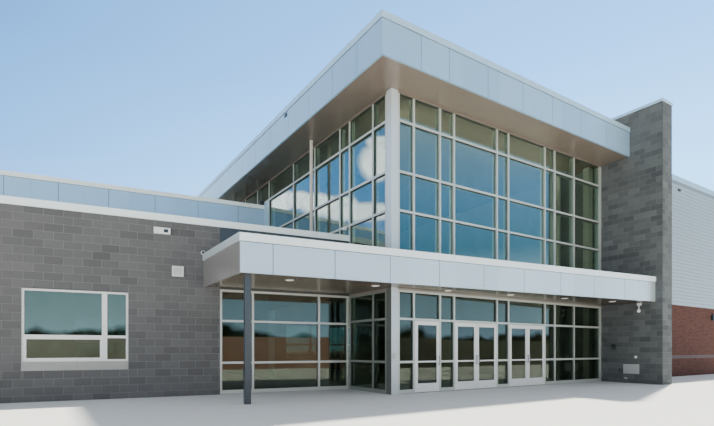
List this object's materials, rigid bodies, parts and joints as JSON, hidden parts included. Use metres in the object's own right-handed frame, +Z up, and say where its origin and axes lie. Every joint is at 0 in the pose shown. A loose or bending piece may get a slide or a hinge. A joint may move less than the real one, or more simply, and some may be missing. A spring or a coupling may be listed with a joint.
{
  "type": "school building",
  "caption": "Low school building with a tall glazed entrance hall, deep flat roof, canopy over glazed doors, block fin wall and block wings.",
  "frame": {"origin": "on the ground at the centre of the foot of the hall's corner column", "axes": "+X along the hall front to the right, +Y into the building, +Z up"},
  "size_m": [37.8785, 19.6457, 10.5],
  "materials": {
    "block": "split and ground concrete block, grey",
    "facing": "dark slate facing, satin",
    "brick": "red-brown face brick",
    "cast_stone": "pale cast stone",
    "concrete": "trowelled concrete",
    "panel": "silver-blue painted panel, satin",
    "coping": "pale painted coping, satin",
    "siding": "ribbed siding, satin",
    "soffit": "warm grey soffit panel, satin",
    "membrane": "pale roofing membrane",
    "bar": "pale anodised bars, satin",
    "beam": "painted cover, satin",
    "post": "pale painted steel",
    "dark_post": "dark slate paint",
    "lamp": "white trim and diffuser",
    "window_bar": "white painted frame",
    "glazing": "blue-green tinted double glazing",
    "door_frame": "white painted aluminium",
    "door_glazing": "clear grey-green glass"
  },
  "bodies": {
    "building": {"canopy_column": "dark_post", "canopy_coping": "coping", "canopy_deck": "membrane", "canopy_fascia": "panel", "canopy_lights": "lamp", "canopy_soffit": "soffit", "corner_column": "panel", "edge_beams": "beam", "fin_coping": "coping", "fin_wall": "block", "gym_band": "cast_stone", "gym_base": "brick", "gym_coping": "coping", "gym_roof": "membrane", "gym_siding": "siding", "hall_back_wall": "block", "hall_floor": "concrete", "hall_side_wall": "panel", "inner_column": "post", "lower_glass": "glazing", "lower_mullions": "bar", "lower_rails": "bar", "party_wall": "block", "roof_coping": "coping", "roof_deck": "membrane", "roof_fascia": "panel", "roof_post": "post", "roof_soffit": "soffit", "upper_back_wall": "panel", "upper_coping": "coping", "upper_front_wall": "panel", "upper_glass": "glazing", "upper_left_wall": "panel", "upper_mullions": "bar", "upper_rails": "bar", "upper_roof": "membrane", "window_frames": "window_bar", "window_glass": "glazing", "window_sills": "cast_stone", "wing_back_wall": "block", "wing_coping": "coping", "wing_floor": "concrete", "wing_front_wall": "block", "wing_left_wall": "block", "wing_over_wall": "facing", "wing_roof": "membrane"},
    "single_door": {"single_door": "door_frame", "single_door_glass": "door_glazing"},
    "first_pair_left_door": {"first_pair_left_door": "door_frame", "first_pair_left_door_glass": "door_glazing"},
    "first_pair_right_door": {"first_pair_right_door": "door_frame", "first_pair_right_door_glass": "door_glazing"},
    "second_pair_left_door": {"second_pair_left_door": "door_frame", "second_pair_left_door_glass": "door_glazing"},
    "second_pair_right_door": {"second_pair_right_door": "door_frame", "second_pair_right_door_glass": "door_glazing"}
  },
  "joints": [
    {"name": "single_door_hinge", "type": "hinge", "parent": "building", "child": "single_door", "pos_m": [0.7625, -0.118, 1], "axis": [0, 0, -1], "range_deg": [0, 90]},
    {"name": "first_pair_left_door_hinge", "type": "hinge", "parent": "building", "child": "first_pair_left_door", "pos_m": [2.3915, -0.118, 1], "axis": [0, 0, -1], "range_deg": [0, 90]},
    {"name": "first_pair_right_door_hinge", "type": "hinge", "parent": "building", "child": "first_pair_right_door", "pos_m": [4.2905, -0.118, 1], "axis": [0, 0, 1], "range_deg": [0, 90]},
    {"name": "second_pair_left_door_hinge", "type": "hinge", "parent": "building", "child": "second_pair_left_door", "pos_m": [4.9495, -0.118, 1], "axis": [0, 0, -1], "range_deg": [0, 90]},
    {"name": "second_pair_right_door_hinge", "type": "hinge", "parent": "building", "child": "second_pair_right_door", "pos_m": [6.8655, -0.118, 1], "axis": [0, 0, 1], "range_deg": [0, 90]}
  ]
}
